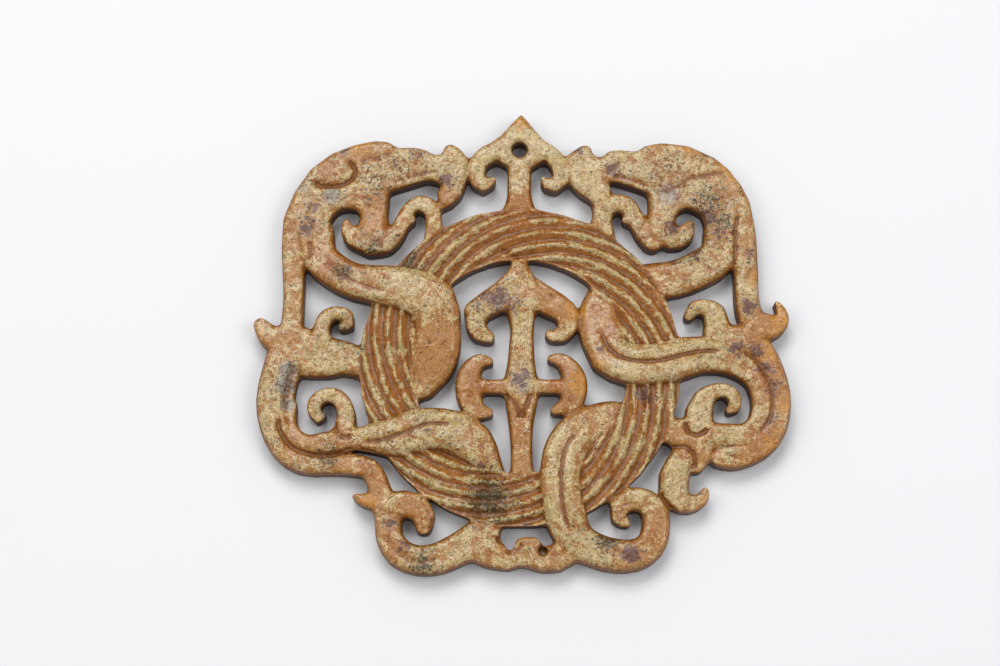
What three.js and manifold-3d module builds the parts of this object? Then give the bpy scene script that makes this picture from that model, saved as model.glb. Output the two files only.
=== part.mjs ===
// An openwork jade plaque, carved from one slab: a twisted ring with two dragons wound through it,
// a scrolled motif inside the ring, and a pointed finial with a hanging hole on top.
// Millimetres, +Z up. The plaque lies on its flat back: X is its width, +Y points to the finial,
// and z = 0 is the back. The origin is the middle of the back.
import * as THREE from "three";
import { mergeVertices } from "three/addons/utils/BufferGeometryUtils.js";
import Module from "manifold-3d";

// ---- Driving sizes ----
const RING = { x: -0.2, y: -3.4, inner: 16.1, outer: 23.9, crown: 5.1, edge: 4.4 };
const FLUTES_ACROSS = 4; // flutes between the ring's inner and outer edge
const FLUTE_STARTS = 17; // flutes that begin on the inner edge in one turn
const FLUTE_DEPTH = 0.45;
const RING_ROWS = 11; // strips across the ring
const UNDERSIDE_ROWS = 4;

const SHOULDER = 0.8; // how far a limb's sides stop below its crown
const PLATE_TOP = 4.6;
const PLATE_BEVEL = 0.45;
const HOLE = { x: -0.25, y: 29.5, radius: 1.1, mouth: 1.3 };
const PIT_FLOOR = 1.6;
const BELOW = -1.5; // everything starts under the back and is then cut flat
const REACH = 100; // larger than the plaque

// ---- The limbs ----
// Each limb is a list of stations [x, y, half width, crown height]. Where one limb passes over
// another its crown is higher, and where it passes under, lower.
const LIMBS = {
  // Left dragon: neck and body over the ring, down inside it, then under it
  leftBody: [
    [-31, 17, 3.0, 4.9], [-30.2, 13.3, 2.7, 5.1], [-27.8, 11, 2.6, 5.4], [-24.7, 9.4, 2.6, 5.6],
    [-20.5, 8.8, 2.9, 6.0], [-16.6, 8, 3.2, 6.1], [-13.1, 6.2, 3.6, 6.0], [-12.4, 2.8, 3.3, 5.6],
    [-12.5, -0.3, 3.5, 5.2], [-13.6, -3.2, 3.5, 4.6], [-14.9, -5.8, 2.6, 4.0], [-19, -6.5, 2.2, 3.6],
    [-22.5, -3.5, 2.2, 3.8], [-26, -2.1, 2.5, 4.4], [-31, -1.7, 3.5, 4.5], [-34.5, 0.5, 2.6, 4.5],
  ],
  leftMane: [
    [-33.1, 20, 1.7, 4.7], [-34.1, 16, 1.65, 4.6], [-34, 11, 1.65, 4.5], [-33.9, 7, 1.55, 4.5],
    [-34.1, 3.5, 1.6, 4.5], [-34.2, 1, 1.8, 4.5],
  ],
  leftManeTip: [[-33, 0.5, 2.4, 4.5], [-36, 0.6, 2.2, 4.4], [-37.9, 1.6, 1.6, 4.3], [-38.8, 2.9, 1.15, 4.1]],
  leftShoulderCurl: [
    [-29.7, 0, 1.6, 4.6], [-29.7, 2.4, 1.25, 4.5], [-28.9, 4.2, 1.15, 4.4], [-27.2, 4.7, 1.0, 4.4],
    [-25.8, 4.1, 1.05, 4.3], [-25.7, 2.9, 0.95, 4.2], [-26.6, 2.6, 0.75, 4.1],
  ],
  leftHaunch: [
    [-35.5, -1.5, 2.3, 4.4], [-36.6, -4.5, 2.0, 4.6], [-37.2, -8.5, 2.1, 4.7], [-36.7, -12, 2.1, 4.7],
    [-35, -15.2, 2.3, 4.6], [-32.3, -17.2, 2.2, 4.5], [-28.5, -17.95, 1.55, 4.4], [-25.2, -18.0, 1.6, 4.4],
    [-22.4, -18.6, 1.6, 4.4], [-21.3, -20.5, 1.65, 4.4], [-20.6, -23, 1.8, 4.4], [-19.6, -26.2, 2.0, 4.5],
    [-19.5, -28.6, 2.0, 4.5], [-18, -31, 2.15, 4.6], [-15.2, -32.1, 2.15, 4.6], [-12.2, -31.8, 2.3, 4.6],
    [-9.6, -30.6, 2.4, 4.5], [-7.3, -29.4, 2.6, 4.5], [-5.6, -28, 2.6, 4.4],
  ],
  leftHaunchRim: [[-33, -2.6, 1.2, 3.6], [-34.4, -5.5, 1.2, 3.4], [-35.1, -9.5, 1.2, 3.5]],
  leftLoin: [
    [-34, -9, 0.8, 3.6], [-34.3, -11.5, 1.0, 4.0], [-33.6, -13.8, 1.3, 4.6], [-31.6, -15, 1.35, 4.8],
    [-28.8, -14.9, 1.75, 4.9], [-24.5, -14.3, 1.6, 5.1], [-20.9, -14.1, 2.5, 5.5], [-17.5, -13.6, 3.2, 5.9],
    [-13.4, -12.7, 3.0, 6.0], [-9.8, -13.2, 3.0, 5.9], [-6.9, -15, 3.0, 5.4], [-5.1, -18, 2.2, 4.8],
    [-4.4, -20.2, 2.2, 3.8],
  ],
  leftHaunchCurl: [
    [-26.8, -14.5, 1.9, 4.8], [-26.1, -12.6, 1.6, 4.7], [-25.9, -11, 1.4, 4.6], [-26.2, -9.4, 1.3, 4.6],
    [-27.2, -8, 1.2, 4.5], [-28.9, -7.6, 1.05, 4.5], [-30.5, -8.7, 1.1, 4.5], [-30.7, -10.2, 1.0, 4.5],
    [-30, -11.1, 0.95, 4.4], [-29.3, -10.8, 0.55, 4.3],
  ],
  leftSpur: [[-21.5, -23.2, 1.4, 4.3], [-23.2, -23.3, 1.0, 4.2], [-24.6, -22.7, 0.45, 4.0]],
  leftTailCurl: [
    [-19.8, -24, 1.5, 4.6], [-17.6, -23.8, 2.0, 4.8], [-15.6, -24.3, 1.9, 4.8], [-14.3, -25.9, 1.7, 4.7],
    [-14.4, -27.2, 1.3, 4.5],
  ],
  leftJaw: [
    [-22, 22.5, 2.3, 4.7], [-22, 19.8, 2.0, 4.7], [-22.3, 17.2, 2.4, 4.8], [-23.4, 15.5, 2.3, 4.8],
    [-25, 16.3, 1.7, 4.6], [-26.2, 17.6, 0.95, 4.4], [-26.2, 18.5, 0.55, 4.2],
  ],
  leftLip: [
    [-22.6, 15.6, 2.2, 4.8], [-20.3, 15.6, 1.9, 4.6], [-18.4, 17.2, 1.3, 4.5], [-17.2, 20, 1.0, 4.4],
    [-15.5, 21.4, 1.2, 4.5], [-13.4, 20.5, 1.35, 4.5], [-13.1, 18, 1.2, 4.4], [-13, 16, 1.6, 4.3],
  ],
  leftLipKnob: [[-17.8, 18.4, 0.9, 4.4], [-17.2, 18.6, 1.0, 4.4], [-16.5, 18.9, 0.75, 4.2]],
  // Right dragon: neck under the ring, round inside it, then over it
  rightBody: [
    [29.8, 17, 2.6, 4.6], [29.6, 13.6, 2.9, 4.7], [26.4, 11.3, 2.8, 4.6], [22.8, 9.95, 2.75, 4.2],
    [19.5, 9.6, 2.8, 3.9], [15.5, 8.5, 2.8, 3.8], [12.4, 6.9, 2.8, 4.0], [11.4, 4, 3.0, 4.4],
    [12.2, 1, 3.4, 4.9], [13, -1.7, 3.1, 5.4], [15.9, -3.1, 2.95, 6.0], [19.5, -3.15, 2.95, 6.1],
    [23.2, -2.3, 3.1, 5.6], [27, -1.6, 2.7, 4.9], [31.2, -2.4, 2.3, 4.7], [34.5, -4.9, 1.8, 4.8],
    [35.7, -8.5, 1.7, 4.8], [35.2, -11.5, 1.7, 4.8], [33.5, -13.6, 1.9, 4.8], [30.5, -13.7, 1.75, 4.8],
    [27, -13.8, 2.2, 4.7], [24, -13.3, 2.4, 4.4],
  ],
  rightHaunch: [
    [31.5, 1, 2.0, 4.5], [33.5, 0.5, 2.0, 4.5], [35.6, -1, 1.9, 4.5], [37, -4, 1.9, 4.6],
    [37.9, -7.5, 1.9, 4.7], [37.7, -11, 1.95, 4.7], [36.3, -14.2, 2.0, 4.7], [33.5, -16.2, 1.9, 4.6],
    [30.7, -17, 1.75, 4.5], [29.3, -17.1, 1.4, 4.4],
  ],
  rightMane: [
    [32.2, 20, 1.8, 4.7], [33.2, 16, 1.75, 4.6], [33.5, 11, 1.8, 4.5], [33.5, 8, 1.8, 4.5],
    [33.8, 5, 1.9, 4.5], [34.8, 3, 1.9, 4.5], [37.1, 2.7, 2.0, 4.4], [38.7, 3.6, 1.25, 4.2],
    [38.6, 5.2, 0.7, 4.1], [37.95, 6.2, 0.4, 4.0],
  ],
  rightShoulderCurl: [
    [28.9, -0.5, 1.9, 4.4], [28.9, 0.8, 1.9, 4.4], [29.1, 2.8, 2.0, 4.4], [28.7, 4.6, 1.8, 4.4],
    [27.2, 5.6, 1.2, 4.4], [25.6, 5.4, 1.05, 4.3], [24.9, 4.3, 0.85, 4.0],
  ],
  rightHaunchCurl: [
    [26.2, -13.5, 2.0, 4.8], [26.2, -12, 2.0, 4.7], [26.3, -10, 2.1, 4.6], [27, -8.3, 1.7, 4.6],
    [28.7, -7, 1.15, 4.5], [30.5, -7.1, 1.05, 4.5], [31.6, -8.3, 1.0, 4.5], [31.3, -9.7, 0.95, 4.4],
    [30.6, -10, 0.6, 4.3],
  ],
  rightThigh: [[22, -12.8, 2.0, 4.3], [25.3, -15, 2.2, 4.6], [26.3, -17, 1.9, 4.6], [25.8, -18.3, 1.1, 4.4]],
  rightFoot: [
    [23.4, -16.6, 1.5, 4.4], [23.2, -17.6, 1.9, 4.5], [22.5, -19.6, 2.3, 4.6], [22.4, -21.8, 2.3, 4.6],
    [23.7, -23.6, 1.7, 4.5], [25.6, -23.7, 1.15, 4.4], [26.8, -22.8, 0.85, 4.3], [27, -21.9, 0.6, 4.1],
  ],
  rightLoin: [
    [13.5, -10.5, 2.2, 3.9], [10.3, -11.8, 2.7, 4.6], [7.6, -14, 3.1, 5.2], [6.1, -16.8, 3.1, 5.7],
    [5.6, -20.3, 2.9, 6.0], [6, -24, 2.9, 6.0], [6.9, -27.2, 3.0, 5.4], [8.2, -29.2, 2.7, 4.8],
    [11, -30.7, 2.5, 4.6], [13.8, -31.4, 2.45, 4.6], [16.8, -31.3, 2.3, 4.6], [18.9, -29.9, 2.2, 4.6],
    [19.7, -27.6, 2.1, 4.6], [19.6, -25.2, 2.0, 4.6], [18.2, -23.4, 1.8, 4.6], [16, -23.2, 1.7, 4.6],
    [14.3, -24.4, 1.5, 4.6], [14.2, -25.9, 1.2, 4.5], [15.3, -26.7, 0.75, 4.2],
  ],
  rightJaw: [
    [21.3, 22.5, 2.4, 4.7], [21.1, 20, 2.1, 4.7], [21, 17.5, 2.3, 4.8], [22.5, 16.2, 1.95, 4.7],
    [24.4, 16.7, 1.6, 4.6], [25.2, 18, 0.8, 4.3],
  ],
  rightChin: [[11.8, 23.5, 1.6, 4.6], [12.2, 20.5, 1.5, 4.5], [12, 18.2, 1.6, 4.4], [12.3, 16.2, 1.8, 4.3]],
  rightLip: [
    [12.8, 20.8, 1.5, 4.5], [14.2, 21.4, 1.4, 4.5], [15.8, 21, 1.4, 4.5], [16.9, 19.4, 1.3, 4.4],
    [18.3, 17, 1.5, 4.5], [19.6, 15.8, 1.8, 4.5],
  ],
  rightLipKnob: [[17, 19, 0.9, 4.4], [16.2, 19, 0.9, 4.3], [15.6, 18.8, 0.7, 4.2]],
  // Foot of the plaque, below the ring
  foot: [
    [-6.5, -29.9, 2.5, 4.4], [-4, -31.3, 2.2, 4.3], [-2, -32.4, 1.25, 4.2], [-0.6, -31.6, 1.5, 4.2],
    [0.9, -31.4, 1.8, 4.3], [3, -31.9, 1.95, 4.3], [4.9, -31.9, 2.0, 4.3], [7, -30.3, 2.3, 4.4],
  ],
  footTongue: [[0.15, -29.95, 1.25, 4.4], [1.7, -29.95, 1.25, 4.4]],
  // Motif inside the ring, hanging from its top
  motifNeck: [[-0.2, 15.2, 1.3, 4.3], [-0.2, 14, 1.1, 4.3], [-0.2, 11, 1.1, 4.4]],
  motifStem: [
    [0, 6, 2.4, 4.6], [0.1, 2.5, 1.75, 4.5], [0, 0, 1.85, 4.5], [-0.05, -3, 2.05, 4.5],
    [-0.1, -6, 2.6, 4.6], [0, -8.5, 2.4, 4.6], [-0.1, -11, 1.95, 4.5], [-0.05, -14, 1.65, 4.4],
    [0, -17, 1.6, 4.4], [0, -20.5, 1.8, 4.3],
  ],
  motifArmLeft: [
    [-4.3, 6.3, 1.95, 4.6], [-6.3, 4.9, 1.75, 4.6], [-6.8, 3, 1.55, 4.5], [-6, 1.5, 1.35, 4.4],
    [-4.8, 0.95, 0.95, 4.2],
  ],
  motifArmRight: [
    [3.9, 6.3, 2.0, 4.6], [6.4, 4.9, 1.9, 4.6], [6.9, 2.9, 1.55, 4.5], [5.9, 1.3, 1.2, 4.4],
    [4.6, 1.15, 0.95, 4.2], [4.1, 1.5, 0.75, 4.1],
  ],
  motifWingLeft: [
    [-4.7, -2.6, 0.65, 4.1], [-5.9, -2.4, 1.05, 4.3], [-7.3, -3.6, 1.5, 4.5], [-7.9, -5.4, 1.85, 4.6],
    [-7.9, -7.4, 1.9, 4.6], [-7.2, -9.2, 1.75, 4.5], [-5.9, -10.3, 1.1, 4.3], [-4.9, -10.3, 0.8, 4.1],
  ],
  motifWingRight: [
    [4.3, -2.2, 0.6, 4.1], [5.6, -2.3, 1.0, 4.3], [7, -3.5, 1.45, 4.5], [7.8, -5.3, 1.85, 4.6],
    [7.8, -7.3, 1.9, 4.6], [7, -9, 1.6, 4.5], [5.6, -9.8, 0.95, 4.3], [4.8, -10, 0.7, 4.1],
  ],
  motifLinks: [[-7, -6.4, 1.05, 4.4], [0, -6.4, 1.05, 4.4], [7, -6.4, 1.05, 4.4]],
  // Finial
  finialStem: [[-0.3, 28, 1.8, 4.6], [-0.3, 22.5, 1.8, 4.5], [-0.3, 21, 2.2, 4.4], [-0.3, 19, 3.6, 4.2]],
  finialCurlLeft: [
    [-3.9, 29.4, 1.4, 4.6], [-4.9, 28.9, 1.5, 4.6], [-6.4, 27.6, 1.4, 4.5], [-6.7, 26, 1.35, 4.5],
    [-6.5, 24.8, 1.3, 4.4], [-5.6, 24.2, 1.2, 4.4], [-4.6, 24.6, 0.8, 4.2], [-4.2, 25, 0.5, 4.1],
  ],
  finialCurlRight: [
    [3.8, 29.3, 1.3, 4.6], [4.8, 28.5, 1.3, 4.6], [5.9, 26.6, 1.3, 4.5], [5.9, 25, 1.3, 4.4],
    [4.9, 24.1, 1.2, 4.4], [3.8, 24.3, 0.9, 4.2], [3.3, 25, 0.55, 4.1],
  ],
};

// ---- The flat parts, as outlines in the plane of the back ----
const PLATES = {
  leftHead: [
    [-8.1, 28.3], [-9.2, 29.7], [-10.5, 30.45], [-11.5, 30.2], [-11.9, 28.8], [-13, 28.7], [-14.3, 29.5],
    [-16, 29.9], [-18.5, 29.8], [-20, 30.8], [-22, 30.9], [-25, 30.3], [-28.5, 28.9], [-31.5, 26.6],
    [-34, 23], [-35.6, 19], [-35.8, 15], [-32.3, 12.2], [-29, 14.5], [-29, 17.3], [-28.7, 18.6],
    [-27.5, 20.1], [-26, 20.6], [-24.7, 20.4], [-24.1, 19.6], [-22, 19], [-20, 20.5], [-19.9, 23],
    [-16.5, 24.1], [-14, 24.9], [-12.3, 24.5], [-12, 24], [-12.7, 22.9], [-12, 20.4], [-10.5, 21],
    [-9, 22.4], [-8.4, 24], [-8.1, 26],
  ],
  rightHead: [
    [6.6, 28.4], [8, 29.5], [9.2, 30.25], [10.4, 30.15], [10.7, 28.9], [11.4, 28.35], [12.3, 28.5],
    [13.2, 29.4], [15, 29.5], [17.3, 29.2], [18.5, 30.1], [21, 30.6], [25, 30.15], [29, 28.3],
    [31, 26.6], [33, 24], [34.2, 21.5], [35, 17], [35.2, 14], [32, 12], [27.6, 15.5], [27.6, 17.2],
    [27, 19.5], [26, 20.2], [24.8, 20.6], [23.6, 20.1], [23.1, 19.2], [21, 18.5], [19.1, 20],
    [19.1, 22.9], [16, 24], [14, 24.6], [12.3, 24.7], [11.8, 24.1], [12.4, 22.9], [11, 21.2],
    [9.6, 22.1], [8.4, 22.9], [7.4, 24], [7.1, 25.5],
  ],
  finial: [[0, 35.1], [-1.4, 33.6], [-3, 31.8], [-4.5, 30.7], [-6, 29.3], [-2.2, 27], [2, 27], [5.5, 29.3], [3.1, 31.3]],
  shield: [
    [-0.2, 12.8], [-1.3, 12.5], [-2.1, 10.9], [-4, 9.1], [-6, 7.7], [-8.4, 5.8], [-8.7, 4.5], [-5.6, 4.6],
    [-2.4, 5], [2.4, 5], [5.6, 4.6], [8.5, 4.2], [8.2, 5.6], [6.4, 7.3], [4, 8.8], [2, 10.1], [0.9, 12],
  ],
};

// Blind hollows [x, y, radius] in the foot and inside the left shoulder curl
const PITS = [[3.1, -30.8, 1.05], [-27.4, 3.2, 0.55]];

const wasm = await Module();
wasm.setup();

// A closed geometry as a solid that can be joined and cut.
function solidOf(geometry) {
  const bare = geometry.clone();
  bare.deleteAttribute("normal");
  bare.deleteAttribute("uv");
  const merged = mergeVertices(bare, 1e-4);
  return new wasm.Manifold(
    new wasm.Mesh({
      numProp: 3,
      vertProperties: merged.attributes.position.array,
      triVerts: new Uint32Array(merged.index.array),
    }),
  );
}

function geometryOf(solid) {
  const { vertProperties, triVerts } = solid.getMesh();
  const geometry = new THREE.BufferGeometry();
  geometry.setAttribute("position", new THREE.BufferAttribute(vertProperties, 3));
  geometry.setIndex(new THREE.BufferAttribute(triVerts, 1));
  return geometry;
}

// A skin over sections that all have the same number of points, closed by a flat fan at each
// end, or running back into itself.
function loft(sections, joined) {
  const count = sections[0].length;
  const corners = sections.flat().flatMap((p) => [p.x, p.y, p.z]);
  const faces = [];
  const spans = joined ? sections.length : sections.length - 1;
  for (let i = 0; i < spans; i++) {
    const here = i * count;
    const next = ((i + 1) % sections.length) * count;
    for (let k = 0; k < count; k++) {
      const side = (k + 1) % count;
      faces.push(here + k, next + k, next + side, here + k, next + side, here + side);
    }
  }
  if (!joined) {
    const last = (sections.length - 1) * count;
    for (let k = 1; k < count - 1; k++) faces.push(0, k, k + 1, last, last + k + 1, last + k);
  }
  const geometry = new THREE.BufferGeometry();
  geometry.setAttribute("position", new THREE.Float32BufferAttribute(corners, 3));
  geometry.setIndex(faces);
  return solidOf(geometry);
}

// A limb swept along the smooth line through its stations, with upright sides, a rounded crown
// and rounded ends.
function limb(stations) {
  const line = new THREE.CatmullRomCurve3(
    stations.map(([x, y]) => new THREE.Vector3(x, y, 0)), false, "centripetal");
  const sizes = new THREE.CatmullRomCurve3(
    stations.map(([, , half, top]) => new THREE.Vector3(half, top, 0)), false, "catmullrom", 0.5);
  const sections = [];
  const sectionAt = (t, beyond, share) => {
    const along = line.getTangent(t);
    const { x: half, y: top } = sizes.getPoint(t);
    const centre = line.getPoint(t).addScaledVector(along, beyond * half);
    const shoulder = Math.min(SHOULDER, half * 0.35);
    const crown = top - (1 - share) * shoulder;
    const profile = [
      [-1, BELOW], [-1, crown - shoulder], [-0.7, crown], [0.7, crown], [1, crown - shoulder], [1, BELOW],
    ];
    sections.push(profile.map(([side, z]) =>
      new THREE.Vector3(
        centre.x - along.y * side * half * share, centre.y + along.x * side * half * share, z)));
  };
  sectionAt(0, -0.92, 0.4);
  sectionAt(0, -0.6, 0.8);
  const spans = stations.length - 1;
  for (let i = 0; i < spans; i++) {
    const [[x0, y0, half0], [x1, y1, half1]] = stations.slice(i, i + 2);
    const steps = Math.ceil(Math.hypot(x1 - x0, y1 - y0) / (0.65 + 0.35 * (half0 + half1)));
    for (let k = 0; k < steps; k++) sectionAt((i + k / steps) / spans, 0, 1);
  }
  sectionAt(1, 0, 1);
  sectionAt(1, 0.6, 0.8);
  sectionAt(1, 0.92, 0.4);
  return loft(sections, false);
}

// The ring: a crowned band with flutes slanting across it like the strands of a rope. Its
// sections follow the flutes, one along each ridge and one along each valley.
function ring() {
  const sections = [];
  const slant = (2 * Math.PI * FLUTES_ACROSS) / FLUTE_STARTS;
  for (let i = 0; i < FLUTE_STARTS * 2; i++) {
    const start = (i * Math.PI) / FLUTE_STARTS;
    const at = (share, z) => {
      const angle = start - share * slant;
      const radius = THREE.MathUtils.lerp(RING.inner, RING.outer, share);
      return new THREE.Vector3(
        RING.x + radius * Math.cos(angle), RING.y + radius * Math.sin(angle), z);
    };
    const points = [];
    for (let k = 0; k <= RING_ROWS; k++) {
      const share = k / RING_ROWS;
      const crown = THREE.MathUtils.lerp(RING.edge, RING.crown, Math.sin(share * Math.PI));
      points.push(at(share, crown - (i % 2) * FLUTE_DEPTH));
    }
    for (let k = UNDERSIDE_ROWS; k >= 0; k--) points.push(at(k / UNDERSIDE_ROWS, BELOW));
    sections.push(points);
  }
  return loft(sections.reverse(), true);
}

// A flat part cut out to an outline, with its top edge bevelled.
function plate(outline) {
  const shape = new THREE.Shape(outline.map(([x, y]) => new THREE.Vector2(x, y)));
  const geometry = new THREE.ExtrudeGeometry(shape, {
    depth: PLATE_TOP - BELOW - PLATE_BEVEL * 2,
    bevelThickness: PLATE_BEVEL,
    bevelSize: PLATE_BEVEL,
    bevelOffset: -PLATE_BEVEL,
    bevelSegments: 1,
  });
  geometry.translate(0, 0, BELOW + PLATE_BEVEL);
  return solidOf(geometry);
}

// The hanging hole, drilled from both faces so that it is narrowest halfway through.
function hangingHole() {
  const profile = [
    [0, -1], [HOLE.mouth, -1], [HOLE.mouth, 0], [HOLE.radius, PLATE_TOP / 2],
    [HOLE.mouth, PLATE_TOP], [HOLE.mouth, PLATE_TOP + 1], [0, PLATE_TOP + 1],
  ];
  const drill = new THREE.LatheGeometry(profile.map(([r, z]) => new THREE.Vector2(r, z)), 20);
  drill.rotateX(Math.PI / 2);
  drill.translate(HOLE.x, HOLE.y, 0);
  return solidOf(drill);
}

function pit([x, y, radius]) {
  const drill = new THREE.CylinderGeometry(radius, radius * 0.7, 2 * PLATE_TOP, 12);
  drill.rotateX(Math.PI / 2);
  drill.translate(x, y, PIT_FLOOR + PLATE_TOP);
  return solidOf(drill);
}

const under = new THREE.BoxGeometry(REACH, REACH, REACH).translate(0, 0, -REACH / 2);
const pieces = [ring(), ...Object.values(LIMBS).map(limb), ...Object.values(PLATES).map(plate)];
const whole = pieces.reduce((sum, piece) => sum.add(piece));
const cuts = [solidOf(under), hangingHole(), ...PITS.map(pit)];
const carving = cuts.reduce((rest, cut) => rest.subtract(cut), whole);

const jade = new THREE.MeshStandardMaterial({ color: 0xb08a54, roughness: 0.35, metalness: 0 });
const plaque = new THREE.Mesh(geometryOf(carving), jade);
plaque.name = "jade_plaque";

const part = new THREE.Group();
part.add(plaque);
export default part;
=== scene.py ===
import math

import bmesh
import bpy
import numpy as np
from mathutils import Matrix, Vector, noise


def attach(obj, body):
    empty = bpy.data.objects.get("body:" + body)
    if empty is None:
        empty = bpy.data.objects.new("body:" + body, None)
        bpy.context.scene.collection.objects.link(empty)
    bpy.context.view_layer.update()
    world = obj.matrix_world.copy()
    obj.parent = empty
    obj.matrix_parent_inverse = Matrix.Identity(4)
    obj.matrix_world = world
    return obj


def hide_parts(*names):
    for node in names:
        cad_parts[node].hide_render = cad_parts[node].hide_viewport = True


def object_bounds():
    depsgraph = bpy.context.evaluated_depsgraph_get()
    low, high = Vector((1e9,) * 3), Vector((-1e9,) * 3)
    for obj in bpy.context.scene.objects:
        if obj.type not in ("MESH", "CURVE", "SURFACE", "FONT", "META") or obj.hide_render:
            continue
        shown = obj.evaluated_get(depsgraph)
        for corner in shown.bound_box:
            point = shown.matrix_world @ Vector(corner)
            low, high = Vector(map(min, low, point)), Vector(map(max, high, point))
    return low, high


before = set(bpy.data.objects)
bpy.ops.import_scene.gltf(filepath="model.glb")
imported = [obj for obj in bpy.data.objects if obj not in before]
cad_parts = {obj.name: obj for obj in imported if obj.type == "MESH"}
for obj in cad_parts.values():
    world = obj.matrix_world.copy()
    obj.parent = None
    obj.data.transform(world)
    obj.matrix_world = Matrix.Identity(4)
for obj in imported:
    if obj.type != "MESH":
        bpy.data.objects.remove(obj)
cad_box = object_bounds()

# The carver's sizes below are millimetres. X is the plaque's width, +Y points to the finial and
# z = 0 is the flat back.
MM = 0.001

# ---- The skin that is carved ----
SKIN_STEP = 0.21  # side of one face of the even skin
CUT_PASSES = 18  # rounds that smooth the saw cuts seen from above
ROUNDING_PASSES = 4  # rounds that wear the sawn edges soft
KEEP_ON_BACK = 0.06  # share of the faces kept on the flat back
KEEP_ON_WALLS = 0.3  # share of the faces kept on the upright walls
MOST_TRIANGLES = 196000

# ---- The ring and its flutes ----
RING_CENTRE = (-0.2, -3.4)
RING_INNER, RING_OUTER = 16.1, 23.9
RING_EDGE, RING_CROWN = 4.4, 5.1
FLUTES_ACROSS = 4
FLUTE_STARTS = 17
FLUTE_DEPTH = 0.36
CREST_SHARPNESS = 4  # a higher power leaves thinner crests between wider valleys
CREST_LOSS = 0.7  # share of a crest that is gone where it is chipped

# ---- Wear ----
SEAM_ROUNDS = 22  # how far out from a seam the face dips
SEAM_SHARE = 0.55  # share of a dip's depth that is added to it
DEEPEST_DIP = 0.6
SWELL_HEIGHT = 0.1
FACE_LOSS = 0.03  # what polishing has taken off the whole carved face
PIT_DEPTH, WORN_PIT_DEPTH = 0.05, 0.16
NEAR_ROUNDS, BROAD_ROUNDS = 14, 84  # how far round a point its mean height is taken
NEAR_RELIEF, BROAD_RELIEF = 0.28, 0.5  # height above or below the mean that counts in full
DEEP_LINE = 0.4  # an incised line this deep is marked in full

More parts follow.
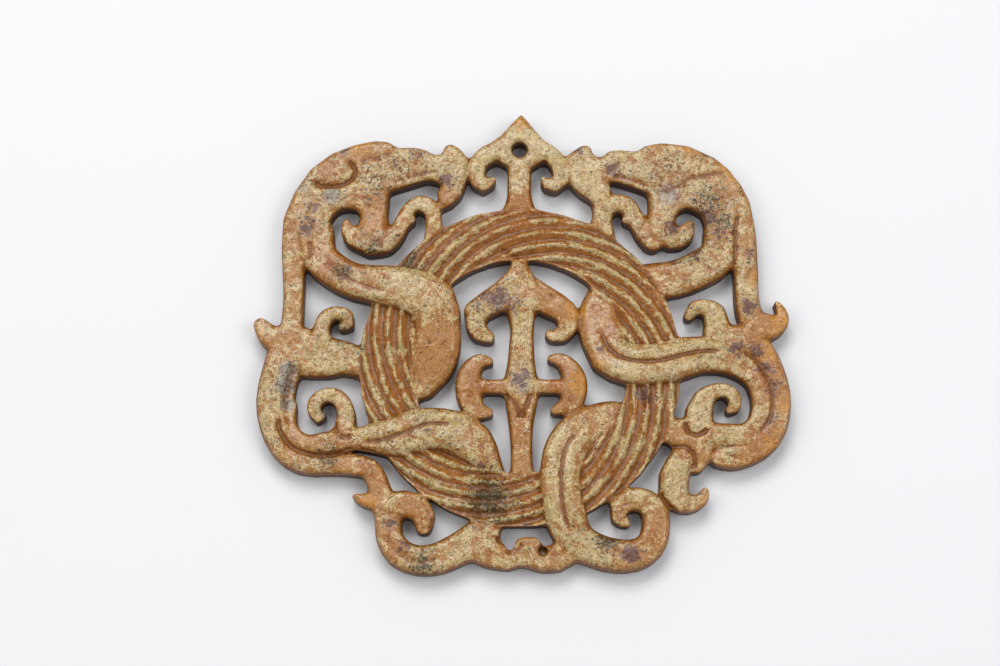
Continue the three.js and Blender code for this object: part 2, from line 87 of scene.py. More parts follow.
# ---- Incised lines: (depth, width, [(x, y), ...]) ----
GROOVES = {
    "left_ear": (0.42, 0.42, [
        (-31.4, 24.9), (-30, 23.9), (-27.5, 23.9), (-25.6, 24.7), (-24.9, 26), (-25.4, 27.2),
        (-26.4, 27.7)]),
    "left_brow": (0.16, 0.5, [(-24.2, 27.6), (-21.5, 28.3), (-19.2, 29)]),
    "left_lip_edge": (0.18, 0.4, [(-19.5, 24.3), (-16, 25.4), (-13.6, 26.1), (-12.2, 26)]),
    "left_neck_seam": (0.22, 0.4, [(-31.6, 15.5), (-31.5, 13.8), (-31.9, 12.4)]),
    "left_neck_line": (0.16, 0.45, [(-29.5, 12.3), (-26.8, 10.2), (-23, 8.4), (-19.6, 7.5)]),
    "left_body_loop": (0.1, 0.4, [
        (-15.2, 5.6), (-15.1, 2.8), (-14, 0.2), (-12.7, 0.3), (-12.2, 2.4), (-12.6, 5)]),
    "left_haunch_line": (0.42, 0.42, [
        (-35.4, -10.4), (-35.8, -12.6), (-34.1, -15.3), (-31.6, -16.4), (-28.5, -16.7), (-25.9, -16),
        (-24.2, -15.5)]),
    "left_leg_round": (0.42, 0.4, [(-24.4, -16.9), (-23.5, -16), (-21.7, -16.6), (-20.1, -18.2)]),
    "left_loin_line": (0.26, 0.42, [
        (-23.8, -15), (-20.5, -14.5), (-17, -13.4), (-13.7, -12.2), (-10, -12.3)]),
    "left_curl_root": (0.3, 0.42, [(-27.4, -11.6), (-27.2, -13.2), (-26.1, -14.1), (-24.9, -13.9)]),
    "left_hook_line": (0.2, 0.3, [(-15.2, -23.4), (-13.7, -24.9), (-13.3, -26.8), (-14, -28)]),
    "left_tail_line": (0.14, 0.4, [(-19.9, -27.8), (-18.6, -30.7), (-15.4, -32.3), (-12, -32)]),
    "ring_knot": (0.2, 0.35, [(-3.2, 14.2), (-1.2, 13.4), (-0.3, 12.4)]),
    "right_ear": (0.2, 0.6, [
        (19.6, 22.7), (23, 23.6), (25.2, 25), (27.4, 25.4), (29.6, 25.9), (31.6, 26.1)]),
    "right_crack": (0.14, 0.4, [(12, 24.9), (13, 25.6), (13.8, 26.4), (14.9, 27.8)]),
    "right_lip_edge": (0.2, 0.36, [(13.6, 25.3), (16.4, 24.8), (19.6, 23.5)]),
    "right_mane_seam": (0.3, 0.4, [(32.3, 19.6), (31.9, 17), (31.8, 14), (31.6, 11.8)]),
    "right_body_line": (0.34, 0.42, [
        (11.7, 2.2), (12.6, -0.4), (14.6, -2.2), (17.6, -2.9), (21, -2.7), (24, -1.8), (27, -1.2),
        (30, -1.1)]),
    "right_haunch_line": (0.26, 0.4, [
        (32.6, -1.2), (35, -3), (36.4, -5.6), (37, -8.6), (36.4, -11.6), (34.6, -14)]),
    "right_hock_line": (0.1, 0.5, [(33.8, -15), (31, -15.2), (27.8, -15)]),
    "right_crescent": (0.45, 0.42, [
        (24.1, -11.6), (24.4, -13), (25.7, -13.7), (27, -13.2), (27.3, -12.5)]),
    "right_small_curl": (0.13, 0.34, [
        (33, -17.6), (31, -16.9), (29.2, -16.3), (28.9, -17.2), (30.2, -17.9), (31.2, -17.6)]),
    "right_foot_round": (0.42, 0.42, [
        (21.3, -17), (22, -15.8), (23.7, -15.4), (25, -16.2), (25.5, -17.6), (25.1, -19)]),
    "right_foot_root": (0.36, 0.42, [(20.2, -22.2), (21.2, -23.6), (22.6, -25.2)]),
    "right_loin_line": (0.26, 0.42, [
        (8.6, -13.2), (6.8, -15), (6, -17.6), (5.8, -20.6), (5.9, -23.6), (6.4, -26.2), (7.2, -28.4)]),
    "right_loin_rib": (0.16, 0.36, [(9.8, -14.8), (8.3, -17), (7.8, -20), (7.9, -23.4), (8.6, -26.2)]),
    "right_hook_line": (0.16, 0.34, [(14.6, -25.6), (14.9, -24.2), (16.4, -23.9), (18, -24.6)]),
    "stem_left": (0.36, 0.5, [(-2.6, -7.4), (-1.4, -8.6), (-0.5, -9.9), (-0.1, -11.2)]),
    "stem_right": (0.36, 0.5, [(1.5, -7.4), (0.9, -8.8), (0.3, -10.2), (-0.1, -11.2)]),
    "shield_right": (0.16, 0.32, [(0.3, 11.8), (1.9, 9.6), (3.7, 7.8), (5.4, 6.4)]),
    "shield_left": (0.14, 0.32, [(-0.8, 11.6), (-2.4, 9.4), (-4.6, 7.5), (-6.8, 5.9)]),
    "foot_scroll": (0.2, 0.34, [(-3.9, -28.6), (-3.2, -30), (-2, -31.2), (-0.6, -30.6), (0.4, -29.6)]),
}

# ---- Mineral stains and a painted edge glow: (x, y, radius, strength), soft-edged ----
PALE = [
    (-22, 25.5, 4.5, 0.7), (-27.5, 21, 3.2, 0.6), (-32, 22.5, 3, 0.6), (-17, 27, 3.6, 0.7),
    (-36, 14, 3, 0.5), (-36.4, 5, 3, 0.6), (27, 24.5, 4.5, 0.6), (-5.4, 11.8, 2.4, 1.3),
    (-12.4, 12.4, 2.4, 0.9), (20, 22, 3, 0.5),
    (0, 31, 4.5, 1), (0, 26, 3.5, 1), (-5.6, 27, 3.2, 1), (5.2, 27, 3.2, 1), (-12, 26, 4, 0.9),
    (-18, 26.5, 3.5, 0.5), (-30.5, 20, 3.6, 0.6), (-14.8, 20, 3, 0.7), (-23.5, 14.7, 2.8, 0.4),
    (9.5, 26, 4, 1.2), (15.5, 26.4, 4, 0.7), (24, 26, 4.5, 0.5), (28, 19, 4.5, 0.5),
    (24.5, 12.8, 4, 0.7), (14, 20, 3.5, 0.8), (22, 17.5, 3.5, 0.5), (-16.5, 8.6, 3.8, 0.9),
    (-23.5, 8, 3, 0.4), (-12.8, 5.4, 3, 0.5), (-37.4, -6.5, 3, 0.7), (-37.6, -11.5, 3, 0.4),
    (-29, -1.4, 4, 0.7), (-28.5, 4, 2.6, 0.5), (-28.5, -8.6, 3.2, 0.8), (-21.5, -13.6, 4, 0.7),
    (-12.5, -11.6, 4, 0.9), (-8.6, -16, 3, 0.5), (16, -3.6, 3.8, 0.9), (22.5, -2.6, 3.8, 0.8),
    (28.5, -1.2, 3.4, 0.9), (27.5, 3.5, 3.4, 0.9), (33.3, 8, 2.4, 0.6), (26, -9.5, 3.2, 0.9),
    (30.6, -8, 2.6, 0.8), (34.6, -9.5, 2.2, 0.7), (30.5, -14.6, 3.4, 0.6), (22.6, -20, 3.4, 0.9),
    (26, -23.2, 2.2, 0.6), (6, -15.2, 3, 0.7), (6.8, -20.6, 2.8, 0.8), (6.6, -25, 2.8, 0.7),
    (10, -29.6, 3.4, 0.9), (16.6, -23.8, 2.8, 0.5), (-14.5, -31.6, 3.5, 0.5), (-8.6, -30, 3.2, 0.6),
    (-19, -24.2, 2.4, 0.5), (0, -30.6, 4, 0.2), (0, 2.6, 3, 0.8), (0, -3.4, 2.8, 0.6),
    (-6.2, 3.4, 3, 0.8), (5.6, 1.8, 2.2, 0.7), (-2.6, 8.4, 3, 0.6), (-10, 17.6, 3.4, 0.3),
    (9.5, 16.2, 3, 0.3), (-10, -21, 4.5, 0.4), (-3, -23, 4, 0.7),
]
RUSTY = [
    (-22, 20, 3.4, 0.9), (-22.6, 16.6, 2.4, 0.5), (-27, 12.2, 3.2, 0.9), (-24, 29, 3, 0.5),
    (-28.6, 26, 2, 0.8), (-12.4, -1.6, 4, 0.9), (-22, -20, 3.2, 1), (-22.6, -17, 2, 0.9),
    (-23, -23.2, 2, 1.1), (7.4, -6, 3.2, 1.1), (-7.4, -6, 3.2, 1), (6.4, 5.4, 2.6, 1.1),
    (0, -14.6, 4, 0.6), (-0.3, 20.4, 2.4, 1.5), (12.4, 3, 3, 0.8), (16, -30.6, 2.6, 0.3),
    (19.6, -27.6, 3, 0.5), (-16, -25, 2.6, 0.8), (-19, -29.6, 2.8, 0.4), (37, -5, 3, 0.8),
    (36, -14.6, 3.4, 0.7), (-26.6, -14.6, 2.2, 0.3), (-34, -15.6, 2.8, 0.3), (3.4, -10.6, 2, 0.6),
    (36.4, 2.4, 2.6, 0.6), (4.2, 8.4, 2.2, 0.6), (-12.6, 22.6, 1.6, 1.1), (22, 11, 2.2, 0.6),
    (0, 14.6, 3, 0.9), (25, -16, 2, 0.5), (-4.6, -28.4, 2.6, 0.4), (9.4, -26.6, 1.6, 0.4),
]
PURPLE = [
    (-4, 7, 2.6, 1), (-1.8, 5.6, 2, 0.9), (-6.4, 6, 1.6, 0.7), (-11, 24.6, 1.7, 0.9),
    (-15.4, 28.6, 1.6, 0.7), (-18.6, 27.4, 1.2, 0.7), (-31.7, 17.6, 1.9, 0.9), (-31.2, 20.6, 1.5, 0.7),
    (-26.5, 29, 1.1, 0.7), (8.3, 29.3, 1.0, 1.1), (13.8, 26.2, 1.4, 1.2), (16.6, 25.4, 1.2, 0.6),
    (27.6, 19.4, 3, 0.9), (29.6, 16.6, 1.8, 0.8), (25.6, 13.4, 1.7, 0.8), (22.8, 12.2, 1.5, 0.6),
    (22.4, 17.4, 1.5, 1), (27.2, 28.6, 1, 0.8), (34, 13.5, 1.1, 0.7), (33.6, 5.6, 1.6, 0.8),
    (31.8, -0.9, 1.7, 1), (34.8, -0.6, 1.5, 1.1), (35.8, -4, 1.4, 1), (37.2, -7, 1.5, 0.9),
    (36.6, -11.5, 1.5, 0.6), (18.2, -8.2, 1.5, 1), (-0.4, -5.2, 1.9, 0.9), (16, -31.3, 1.4, 1.3),
    (-19.4, -26.6, 1.5, 0.8), (-17.4, -30.6, 1.3, 0.7), (-5.6, -18, 1.6, 0.6), (12.4, -1.2, 1.5, 0.6),
    (-34.4, 9, 1.1, 0.4), (11, -15.8, 1.4, 0.5), (-13.6, -13, 1.3, 0.6), (0.5, -26.3, 1.6, 0.6),
    (14.4, 0.4, 1.2, 0.4), (31.4, 22.4, 1.4, 0.5), (20.4, 25.4, 1.4, 0.4),
]
GREY = [
    (-28.4, 22.4, 1.6, 1), (22, 22.6, 2.4, 0.8), (19.6, 25.6, 1.8, 0.5), (-35, -6.4, 1.6, 1.2),
    (-34.6, -4, 1.5, 1.1), (-34.6, -9, 1.3, 1), (0.2, -6.6, 1.5, 0.8), (-2.6, -29.4, 1.5, 0.4),
    (-25, -9, 1.4, 0.4), (-3.6, 6.2, 1.6, 0.8), (17.6, -7.6, 1.2, 0.9), (-32.6, 23.4, 1.4, 0.6),
    (-36.6, -14.6, 1.6, 0.4), (-26.8, 0.4, 1.4, 0.5), (26, 22.5, 1.6, 0.5),
]
MOSSY = [
    (-26.4, 10.4, 1.9, 0.9), (-22, 14.4, 2.4, 0.7), (-27, 2.8, 2.4, 0.9), (-4.6, -23.4, 4, 0.9),
    (-28.6, -17.2, 2.2, 0.7), (12.6, -29.2, 1.7, 1), (-14.6, -33, 2, 0.8), (-32, 25, 2, 0.5),
    (-20.5, 23.6, 2.6, 0.4), (-18.2, 15.6, 1.9, 0.8), (-16.6, 12.4, 2.2, 0.9), (28.4, 22.6, 2.4, 0.6),
    (30.4, 18, 2, 0.6), (-10.4, -14.6, 2.2, 0.5), (25.4, 5, 1.6, 0.6), (-28.8, -10.6, 1.4, 1),
    (-19.6, -14.4, 1.8, 0.4), (-12.6, 12.5, 1.6, 0.5), (8.6, -28, 1.6, 0.5), (-23.6, -0.6, 1.6, 0.7),
]
# Spots of painted glow where light passes through the thin edges, with the stone's own amber patches.
AMBER = [
    (39, 3.4, 2.6, 1.2), (36.6, 0.4, 2, 0.8), (39.6, -9, 2.6, 0.8), (37.6, -15.4, 3, 0.8),
    (0, 34, 2, 1), (32, 26.6, 3, 0.9), (26, 30, 3, 0.8), (20, 30.4, 2.4, 0.6), (35.2, 19, 1.8, 0.8),
    (35, 10, 2, 0.9), (8, 5, 2.2, 1), (8.8, -6, 2.4, 1), (11.4, -3, 2, 0.7), (21, -30.4, 2.4, 0.6),
    (14, -33.6, 2.4, 0.5), (-24, 30.4, 3, 0.7), (-35.4, 17, 2, 0.5), (-22.6, -23.6, 1.8, 0.9),
    (-27, -19.4, 2, 0.6), (36.6, -1.6, 1.6, 0.9), (26.6, -23.4, 1.6, 0.6), (4, -33, 2, 0.4),
    (-39, 1.2, 1.6, 0.5), (33.6, -17.6, 2.4, 0.6),
]
WORN = [
    (-22, 24, 4.5, 0.8), (-17, 26.5, 3.6, 0.9), (-28, 23, 3.8, 0.8), (21.5, 26, 4, 0.8),
    (16.5, 16.5, 3.6, 0.6), (-35, -6, 3.4, 1), (-23, 13.6, 3.4, 0.7), (25.5, 14.5, 4, 0.8),
    (-20, -15, 4, 0.5), (34, 12, 3, 0.5), (28, 19.4, 4.2, 1), (24, 24.6, 3.4, 0.7), (-5, -23, 4.4, 1),
    (-28.6, -17, 2.6, 0.8), (12.4, -29.6, 3, 0.9), (-31.6, 18, 2.4, 0.8), (-26.6, 10.6, 2, 0.8),
    (-17, 13, 2.4, 0.8), (-27, 0.4, 2.4, 0.8), (-12, 25, 2.6, 0.6), (-15, -32.4, 3, 0.8),
    (-15, -12.6, 2.6, 0.6), (19, -8.4, 1.8, 0.6), (-4, 6.6, 2.4, 0.6), (36.4, -6, 2, 0.5),
]


# ---- Mesh helpers ----
def baked(piece):
    """The piece's mesh with its modifiers worked in."""
    graph = bpy.context.evaluated_depsgraph_get()
    mesh = bpy.data.meshes.new_from_object(piece.evaluated_get(graph))
    piece.modifiers.clear()
    piece.data = mesh
    return mesh


def points_of(mesh):
    flat = np.empty(len(mesh.vertices) * 3)
    mesh.vertices.foreach_get("co", flat)
    return flat.reshape(-1, 3) / MM


def put_points(mesh, points):
    mesh.vertices.foreach_set("co", (points * MM).ravel())
    mesh.update()


def normals_of(mesh):
    flat = np.empty(len(mesh.vertices) * 3)
    mesh.vertex_normals.foreach_get("vector", flat)
    return flat.reshape(-1, 3)


def edges_of(mesh):
    flat = np.empty(len(mesh.edges) * 2, dtype=np.int64)
    mesh.edges.foreach_get("vertices", flat)
    return flat.reshape(-1, 2)


def spread(values, edges, rounds, share=0.5):
    """Values at the vertices, each drawn towards its neighbours' mean, several times over."""
    count = np.bincount(edges.ravel(), minlength=len(values))
    alone = (count == 0).reshape((-1,) + (1,) * (values.ndim - 1))
    count = np.maximum(count, 1).reshape(alone.shape)
    for _ in range(rounds):
        total = np.where(alone, values, 0.0)
        np.add.at(total, edges[:, 0], values[edges[:, 1]])
        np.add.at(total, edges[:, 1], values[edges[:, 0]])
        values = values + share * (total / count - values)
    return values


def ramp(value, low, high):
    """0 below low and 1 above high, with a smooth rise between."""
    share = np.clip((value - low) / (high - low), 0, 1)
    return share * share * (3 - 2 * share)


def smooth_line(stations, step=0.35):
    """Points close together on the smooth curve through the stations."""
    given = np.array(stations, dtype=float)
    ends = np.vstack([2 * given[0] - given[1], given, 2 * given[-1] - given[-2]])
    found = []
    for before, start, end, after in zip(ends, ends[1:], ends[2:], ends[3:]):
        count = max(2, int(np.linalg.norm(end - start) / step))
        for t in np.arange(count) / count:
            found.append(0.5 * (
                2 * start + (end - before) * t + (2 * before - 5 * start + 4 * end - after) * t ** 2
                + (3 * start - before - 3 * end + after) * t ** 3))
    found.append(given[-1])
    return np.array(found)


def groove_profile(plane, stations, width):
    """1 along the line, falling to 0 beside it and fading at its ends."""
    line = smooth_line(stations)
    reach = width * 3
    near = np.all((plane > line.min(0) - reach) & (plane < line.max(0) + reach), axis=1)
    index = np.nonzero(near)[0]
    spot = plane[index]
    distance = np.full(len(spot), 1e9)
    along = np.zeros(len(spot))
    for k, place in enumerate(line):
        gap = np.hypot(*(spot - place).T)
        closer = gap < distance
        distance[closer] = gap[closer]
        along[closer] = k / (len(line) - 1)
    fade = ramp(along, -0.02, 0.12) * ramp(1 - along, -0.02, 0.12)
    result = np.zeros(len(plane))
    result[index] = np.exp(-(distance / width) ** 2) * fade
    return result


def stain(plane, spots):
    """How strongly soft round spots reach each point."""
    total = np.zeros(len(plane))
    for x, y, radius, strength in spots:
        gap = np.hypot(plane[:, 0] - x, plane[:, 1] - y) / radius
        total = np.maximum(total, strength * np.exp(-gap ** 2))
    return total


def roughness_at(points, scale, octaves, seed):
    """Even fractal noise about 0 at each point."""
    shift = Vector((seed, seed * 1.7, seed * 2.3))
    return np.array([
        noise.fractal(Vector(p) * scale + shift, 1.0, 2.0, octaves, noise_basis="PERLIN_ORIGINAL")
        for p in points])


# ---- The plaque ----
def sawn_block():
    """The CAD solid as one even, closed skin."""
    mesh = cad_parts["jade_plaque"].data.copy()
    shaping = bmesh.new()
    shaping.from_mesh(mesh)
    bmesh.ops.remove_doubles(shaping, verts=shaping.verts, dist=1e-7)
    shaping.to_mesh(mesh)
    shaping.free()
    piece = bpy.data.objects.new("carved_plaque", mesh)
    bpy.context.scene.collection.objects.link(piece)
    skin = piece.modifiers.new("skin", "REMESH")
    skin.mode = "VOXEL"
    skin.voxel_size = SKIN_STEP * MM
    baked(piece)
    return piece


def rounded(piece):
    """Smooths the saw cuts seen from above, then wears every edge a little soft."""
    mesh = piece.data
    points = points_of(mesh)
    edges = edges_of(mesh)
    upright = np.abs(normals_of(mesh)[:, 2]) < 0.6
    cuts = edges[upright[edges].all(axis=1)]
    shifted = spread(points[:, :2], cuts, CUT_PASSES)
    points[upright, :2] = shifted[upright]
    put_points(mesh, spread(points, edges, ROUNDING_PASSES))


def thinned(piece):
    """Merges small faces on the flat back, then on the walls, and keeps them on the carved face."""
    for zone, keep in (("back", KEEP_ON_BACK), ("wall", KEEP_ON_WALLS)):
        mesh = piece.data
        rise = normals_of(mesh)[:, 2]
        chosen = rise < -0.9 if zone == "back" else np.abs(rise) <= 0.35
        group = piece.vertex_groups.new(name=zone)
        group.add(np.nonzero(chosen)[0].tolist(), 1.0, "REPLACE")
        spared = 1 - chosen.mean() * (1 - keep)
        thin = piece.modifiers.new(zone, "DECIMATE")
        thin.ratio = spared
        thin.vertex_group = group.name
        baked(piece)
        piece.vertex_groups.clear()
    triangles = sum(len(face.vertices) - 2 for face in piece.data.polygons)
    if triangles > MOST_TRIANGLES:
        thin = piece.modifiers.new("thin", "DECIMATE")
        thin.ratio = MOST_TRIANGLES / triangles
        baked(piece)
    piece.data.shade_smooth()


def held_in(piece):
    """Keeps every point inside the box of the sawn block."""
    low, high = (np.array(corner) / MM for corner in cad_box)
    put_points(piece.data, np.clip(points_of(piece.data), low, high))


def ring_place(plane):
    """Each point's share of the way across the ring, and its place counted in flutes."""
    dx, dy = plane[:, 0] - RING_CENTRE[0], plane[:, 1] - RING_CENTRE[1]
    share = (np.hypot(dx, dy) - RING_INNER) / (RING_OUTER - RING_INNER)
    turn = np.arctan2(dy, dx) / (2 * math.pi) % 1
    return share, turn, turn * FLUTE_STARTS + share * FLUTES_ACROSS


def mean_height(heights, face, edges, rounds):
    """The carved face's mean height round each point, taken further out with every round."""
    both = spread(np.stack([heights * face, face], 1), edges, rounds)
    return both[:, 0] / np.maximum(both[:, 1], 1e-3)


def cut_flutes(points, edges, face):
    """Cuts the valleys of the ring, and returns how far each point is on it and on a crest."""
    share, _, flute = ring_place(points[:, :2])
    crown = RING_EDGE + (RING_CROWN - RING_EDGE) * np.sin(np.clip(share, 0, 1) * math.pi)
    above = points[:, 2] - crown
    level = ramp(above, -0.75, -0.5) * (1 - ramp(above, 0.12, 0.4))
    on_ring = ramp(share, -0.02, 0.06) * ramp(1 - share, -0.02, 0.06) * level * face
    on_ring = spread(on_ring, edges, 3)
    chipped = ramp(roughness_at(points, 0.8, 2, 29.0), 0.0, 0.4)
    ridge = np.cos(math.pi * flute) ** CREST_SHARPNESS * (1 - CREST_LOSS * chipped)
    points[:, 2] -= FLUTE_DEPTH * (1 - ridge) * on_ring
    return on_ring, ridge


def incise(points, face):
    """Cuts the incised lines, and returns how far each point is in one."""
    deepest = np.zeros(len(points))
    for depth, width, stations in GROOVES.values():
        cut = groove_profile(points[:, :2], stations, width)
        points[:, 2] -= depth * cut * face
        deepest = np.maximum(deepest, cut * depth / DEEP_LINE)
    return np.clip(deepest, 0, 1) * face


def wear(points, edges, face, worn):
    """Deepens the seams, and leaves the face gently uneven and pitted."""
    mean = mean_height(points[:, 2], face, edges, SEAM_ROUNDS)
    dip = np.clip(mean - points[:, 2], 0, DEEPEST_DIP) * face
    points[:, 2] -= SEAM_SHARE * spread(dip, edges, 2)
    swell = SWELL_HEIGHT * roughness_at(points, 0.35, 2, 3.0) - FACE_LOSS
    pits = (PIT_DEPTH + WORN_PIT_DEPTH * worn) * ramp(roughness_at(points, 1.5, 3, 11.0), 0.05, 0.5)
    points[:, 2] += face * (swell - pits)


def carve(piece):
    """Cuts the flutes, the incised lines and the wear, and notes where each lies."""
    mesh = piece.data
    points = points_of(mesh)
    edges = edges_of(mesh)
    tilt = normals_of(mesh)[:, 2]
    face = ramp(tilt, 0.15, 0.6) * ramp(points[:, 2], 1.5, 2.5)
    plane = points[:, :2]
    worn = stain(plane, WORN)
    on_ring, ridge = cut_flutes(points, edges, face)
    line = incise(points, face)
    wear(points, edges, face, worn)
    put_points(mesh, points)

    near = points[:, 2] - mean_height(points[:, 2], face, edges, NEAR_ROUNDS)
    broad = points[:, 2] - mean_height(points[:, 2], face, edges, BROAD_ROUNDS)
    # Besides real marks, these drive painted highlight and shade: swell, crest and hollow lighten
    # crowns and darken hollows, and wall darkens the walls.
    marks = {
        "swell": np.clip(broad / BROAD_RELIEF, -1, 1) * face,
        "hollow": np.clip(-near / NEAR_RELIEF, 0, 1) * face,
        "crest": np.clip(near / NEAR_RELIEF, 0, 1) * face,
        "wall": 1 - ramp(np.abs(tilt), 0.15, 0.5),
        "line": line,
        "on_ring": on_ring,
        "ridge": ridge,
        "worn": worn,
        "pale": stain(plane, PALE) - stain(plane, RUSTY),
        "purple": stain(plane, PURPLE),
        "grey": stain(plane, GREY),
        "mossy": stain(plane, MOSSY),
        "amber_and_glow": stain(plane, AMBER),
    }
    for name, values in marks.items():
        layer = mesh.attributes.new(name, "FLOAT", "POINT")
        layer.data.foreach_set("value", values.astype(np.float32))
    _, turn, flute = ring_place(plane)
    strand = np.stack([flute * 3, turn * 30, points[:, 2] * 0.5], 1).astype(np.float32)
    layer = mesh.attributes.new("strand", "FLOAT_VECTOR", "POINT")
    layer.data.foreach_set("vector", strand.ravel())


# ---- Shader maths ----
class Value:
    """A socket's value, which Python's operators work on by adding Math nodes."""

    def __init__(self, maker, socket):
        self.maker = maker
        self.socket = socket

    def _math(self, operation, *values):
        return self.maker.node("ShaderNodeMath", {"operation": operation}, dict(enumerate(values)))

    def __add__(self, other):
        return self._math("ADD", self, other)

    def __radd__(self, other):
        return self._math("ADD", other, self)

    def __sub__(self, other):
        return self._math("SUBTRACT", self, other)

    def __rsub__(self, other):
        return self._math("SUBTRACT", other, self)

    def __mul__(self, other):
        return self._math("MULTIPLY", self, other)

    def __rmul__(self, other):
        return self._math("MULTIPLY", other, self)

    def clamped(self):
        return self._math("MINIMUM", self._math("MAXIMUM", self, 0.0), 1.0)

    def steps(self, low, high):
        """0 below low and 1 above high, with a smooth rise between."""
        settings = {"interpolation_type": "SMOOTHSTEP"}
        inputs = {"Value": self, "From Min": low, "From Max": high}
        return self.maker.node("ShaderNodeMapRange", settings, inputs)


class Finish:
    """A material that is put together node by node."""

    def __init__(self, name):
        self.material = bpy.data.materials.new(name)
        self.material.use_nodes = True
        self.tree = self.material.node_tree
        self.tree.nodes.clear()
        self.output = self.tree.nodes.new("ShaderNodeOutputMaterial")

    def node(self, kind, settings=None, inputs=None, out=0):
        made = self.tree.nodes.new(kind)
        for key, value in (settings or {}).items():
            setattr(made, key, value)
        for key, value in (inputs or {}).items():
            if isinstance(value, Value):
                self.tree.links.new(value.socket, made.inputs[key])
            else:
                made.inputs[key].default_value = value
        return Value(self, made.outputs[out])

    def mark(self, name):
        return self.node("ShaderNodeAttribute", {"attribute_name": name}, out="Fac")

    def grain(self, where, scale, detail=4.0, roughness=0.55, distortion=0.0):
        """Noise of a size, in marks to the millimetre."""
        inputs = {
            "Vector": where, "Scale": scale, "Detail": detail,
            "Roughness": roughness, "Distortion": distortion,
        }
        return self.node("ShaderNodeTexNoise", {"noise_dimensions": "3D"}, inputs, out="Fac")

    def mix(self, factor, first, second):
        settings = {"data_type": "RGBA", "blend_type": "MIX", "clamp_factor": True}
        pair = {key: (*c, 1) if isinstance(c, tuple) else c for key, c in ((6, first), (7, second))}
        return self.node("ShaderNodeMix", settings, {0: factor, **pair}, out=2)

    def surface(self, shader):
        self.tree.links.new(shader.socket, self.output.inputs["Surface"])
        return self.material


CREAM = (0.64, 0.475, 0.245)
OLIVE_CREAM = (0.49, 0.352, 0.135)
TAN = (0.47, 0.222, 0.064)
RUST = (0.37, 0.118, 0.012)
# Deep brown of the patina, also used as painted shade in the hollows and on the walls.
DEEP_RUST_AND_SHADE = (0.20, 0.066, 0.006)
# Near black of the dark flecks, also used as painted shade at the foot of the walls.
UMBER = (0.040, 0.015, 0.006)
# Amber of the stone, also used as a painted glow at the thin edges.
AMBER_TONE = (0.58, 0.25, 0.035)
PLUM = (0.115, 0.034, 0.022)
ASH = (0.33, 0.31, 0.28)
MOSS = (0.045, 0.032, 0.010)
MUSTARD = (0.46, 0.29, 0.045)
SAGE = (0.31, 0.252, 0.12)


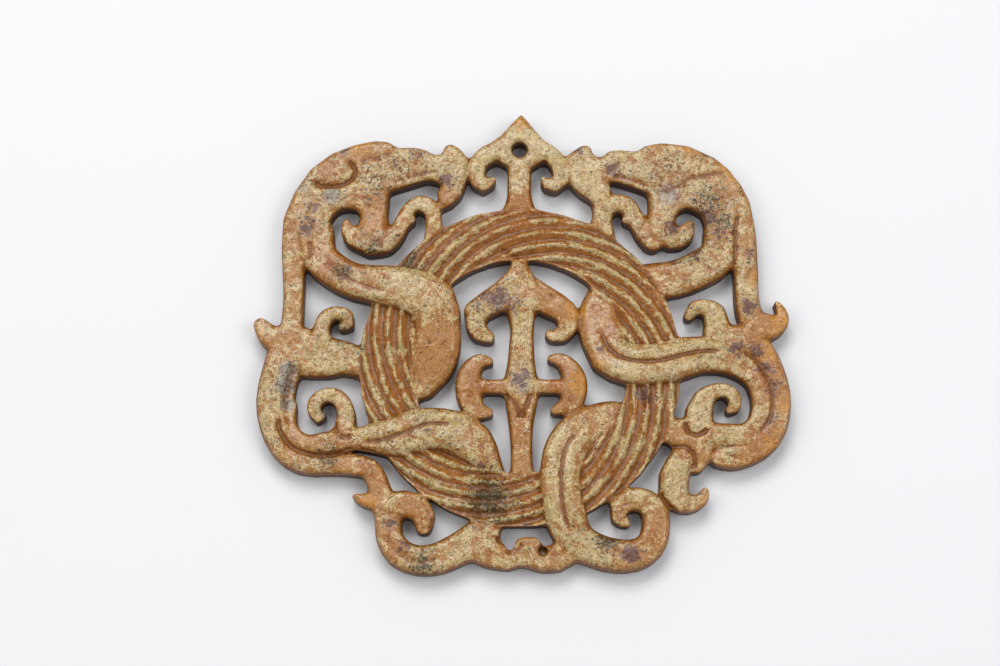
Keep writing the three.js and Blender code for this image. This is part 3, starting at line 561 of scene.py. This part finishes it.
def jade():
    """Polished jade, weathered cream and rust-brown, with painted highlight on its crowns and painted
    shade in its hollows.
    """
    finish = Finish("jade")
    place = finish.node("ShaderNodeTexCoord", out="Object")
    scaled = finish.node("ShaderNodeVectorMath", {"operation": "SCALE"}, {0: place, "Scale": 1 / MM})
    strand = finish.node("ShaderNodeAttribute", {"attribute_name": "strand"}, out="Vector")
    at = {name: finish.mark(name) for name in (
        "swell", "hollow", "crest", "wall", "line", "on_ring", "ridge",
        "worn", "pale", "purple", "grey", "mossy", "amber_and_glow")}

    cloud = finish.grain(scaled, 0.30, 3.0, 0.5, 0.6)
    patch = finish.grain(scaled, 0.75, 4.0, 0.62, 0.9)
    speckle = finish.grain(scaled, 2.6, 3.0, 0.6, 0.4)
    dust = finish.grain(scaled, 6.5, 2.0, 0.6)
    murk = finish.grain(scaled, 0.9, 4.0, 0.6, 1.4)
    streak = finish.grain(strand, 2.4, 4.0, 0.6, 0.3)

    # Painted highlight and shade: besides the noise and stains of the crust, this lifts crowns and
    # swells and darkens hollows, incised lines and walls.
    crust_and_shading = (
        0.45 + (patch - 0.5) * 1.6 + (cloud - 0.5) * 0.8 + (speckle - 0.5) * 0.9 + (dust - 0.5) * 0.5
        + at["pale"] * 0.32 + at["swell"] * 0.18 + at["crest"] * 0.12 - at["hollow"] * 0.5
        - at["line"] * 0.35 - at["wall"] * 0.3
    )
    crested = at["ridge"] * 0.72 - 0.33 + (streak - 0.5) * 2.5 + (cloud - 0.5) * 2.2
    crust_and_shading = crust_and_shading + at["on_ring"] * crested
    tone = finish.mix((cloud + (speckle - 0.5) * 0.7).steps(0.40, 0.62), TAN, RUST)
    tone = finish.mix(at["on_ring"] * 0.7, tone, RUST)
    tone = finish.mix(crust_and_shading.steps(0.34, 0.54) * 0.8, tone, TAN)
    chalk = finish.mix((patch + (dust - 0.5) * 0.7).steps(0.42, 0.60), OLIVE_CREAM, CREAM)
    chalk = finish.mix(murk.steps(0.50, 0.66) * 0.6, chalk, SAGE)
    chalk = finish.mix((1 - murk).steps(0.55, 0.68) * 0.7, chalk, MUSTARD)
    tone = finish.mix(crust_and_shading.steps(0.42, 0.66), tone, chalk)
    # Painted glow: amber where light passes through the thin edges, over the stone's own amber patches.
    amber_and_glow = (at["amber_and_glow"] + (patch - 0.5) * 1.2 + (speckle - 0.5) * 0.8).steps(0.35, 0.8)
    tone = finish.mix(amber_and_glow * 0.8, tone, AMBER_TONE)
    ash = (at["grey"] + (speckle - 0.5) * 1.2).steps(0.3, 0.8)
    tone = finish.mix(ash * 0.75, tone, ASH)
    plum = (at["purple"] + (patch - 0.5) * 3.2 + (speckle - 0.5) * 1.4).steps(0.5, 0.78)
    tone = finish.mix(plum * 0.92, tone, PLUM)
    tone = finish.mix((at["mossy"] + (patch - 0.5) * 2).steps(0.3, 1.0) * 0.5, tone, SAGE)
    moss = at["mossy"] * 0.7 + at["worn"] * 0.46 + (speckle - 0.5) * 3.2 + (murk - 0.5) * 1.6
    tone = finish.mix(moss.steps(0.6, 0.85) * 0.85, tone, MOSS)
    # Painted shade: hollows and incised lines darkened to deep brown, less on broad swells; partly the
    # patina held there.
    deep = (at["hollow"] * 1.5 - at["swell"] * 0.7 + at["line"] + (speckle - 0.5) * 0.8).steps(0.3, 1.0)
    tone = finish.mix(deep * 0.9, tone, DEEP_RUST_AND_SHADE)
    grit = finish.grain(scaled, 3.1, 3.0, 0.6)
    flecks = (speckle - 0.5) * 0.8 - (grit - 0.5) * 1.6 + at["worn"] * 0.09 + (murk - 0.5) * 0.5
    tone = finish.mix(flecks.steps(0.15, 0.27) * 0.75, tone, UMBER)
    # Painted shade: the upright walls darkened to deep brown, partly dirt on them.
    tone = finish.mix(at["wall"] * 0.8, tone, DEEP_RUST_AND_SHADE)
    # Painted shade: the walls go near black towards their foot, where they meet the floor.
    height = finish.node("ShaderNodeSeparateXYZ", inputs={0: scaled}, out="Z")
    foot = at["wall"] * (1 - height.steps(1.2, 4.6))
    tone = finish.mix(foot * 0.9, tone, UMBER)
    shade = 0.93 + (speckle - 0.5) * 1.2 + (dust - 0.5) * 1.2 + (patch - 0.5) * 0.5
    tone = finish.node("ShaderNodeVectorMath", {"operation": "SCALE"}, {0: tone, "Scale": shade})

    relief = (patch - 0.5) * 0.5 + (speckle - 0.5) * (0.35 + at["worn"] * 0.6) + (dust - 0.5) * 0.12
    bump = finish.node("ShaderNodeBump", inputs={
        "Strength": 0.8, "Distance": 0.16 * MM, "Height": relief})
    gloss = 0.21 + (speckle - 0.5) * 0.25 + at["worn"] * 0.12 + at["hollow"] * 0.2 + at["wall"] * 0.45
    shader = finish.node("ShaderNodeBsdfPrincipled", inputs={
        "Base Color": tone, "Roughness": gloss.clamped(), "Normal": bump,
        "IOR": 1.61, "Specular IOR Level": 0.36,
        "Subsurface Weight": 0.04, "Subsurface Radius": (1.0, 0.45, 0.18), "Subsurface Scale": 0.9 * MM,
        "Coat Weight": 0.06, "Coat Roughness": 0.12,
    })
    return finish.surface(shader)


def tabletop():
    finish = Finish("tabletop")
    shader = finish.node("ShaderNodeBsdfPrincipled", inputs={
        "Base Color": (0.90, 0.905, 0.92, 1), "Roughness": 0.7, "Specular IOR Level": 0.2})
    return finish.surface(shader)


# ---- The setting ----
FLOOR_HALF = 1.5
# Each lamp: (name, (x, y, z), width across, power, colour), in metres and watts
LAMPS = [
    ("window", (-0.06, 0.34, 0.60), 0.34, 1.92, (1, 0.99, 0.98)),
    ("left_lamp", (-0.33, 0.10, 0.62), 0.45, 1.02, (1, 0.985, 0.97)),
    ("right_lamp", (0.32, 0.0, 0.62), 0.38, 1.0, (0.98, 0.99, 1)),
]
ROOM_COLOUR, ROOM_LIGHT = (0.96, 0.975, 1, 1), 0.385
CAMERA_AT, CAMERA_AIM = (-3.2, -70, 410), (-3.2, 1.6, 4)


def look_at(thing, target):
    thing.rotation_euler = (Vector(target) - thing.location).to_track_quat("-Z", "Y").to_euler()


def lay_floor():
    mesh = bpy.data.meshes.new("floor")
    shaping = bmesh.new()
    bmesh.ops.create_grid(shaping, x_segments=1, y_segments=1, size=FLOOR_HALF)
    shaping.to_mesh(mesh)
    shaping.free()
    mesh.materials.append(tabletop())
    floor = bpy.data.objects.new("floor", mesh)
    bpy.context.scene.collection.objects.link(floor)


def hang_lamps():
    for name, place, width, power, colour in LAMPS:
        lamp = bpy.data.lights.new(name, "AREA")
        lamp.shape = "DISK"
        lamp.size = width
        lamp.energy = power
        lamp.color = colour
        light = bpy.data.objects.new(name, lamp)
        light.location = place
        look_at(light, (0, 0, 0))
        bpy.context.scene.collection.objects.link(light)


def light_room():
    room = bpy.data.worlds.new("studio")
    room.use_nodes = True
    glow = room.node_tree.nodes["Background"]
    glow.inputs["Color"].default_value = ROOM_COLOUR
    glow.inputs["Strength"].default_value = ROOM_LIGHT
    bpy.context.scene.world = room
    bpy.context.scene.view_settings.view_transform = "Standard"


def stand_camera():
    lens = bpy.data.cameras.new("camera")
    lens.lens = 100
    lens.sensor_width = 36
    lens.clip_start = 0.01
    camera = bpy.data.objects.new("camera", lens)
    camera.location = Vector(CAMERA_AT) * MM
    look_at(camera, Vector(CAMERA_AIM) * MM)
    bpy.context.scene.collection.objects.link(camera)
    bpy.context.scene.camera = camera


plaque = sawn_block()
rounded(plaque)
carve(plaque)
thinned(plaque)
held_in(plaque)
plaque.data.materials.clear()
plaque.data.materials.append(jade())
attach(plaque, "root")
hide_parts("jade_plaque")
lay_floor()
hang_lamps()
light_room()
stand_camera()
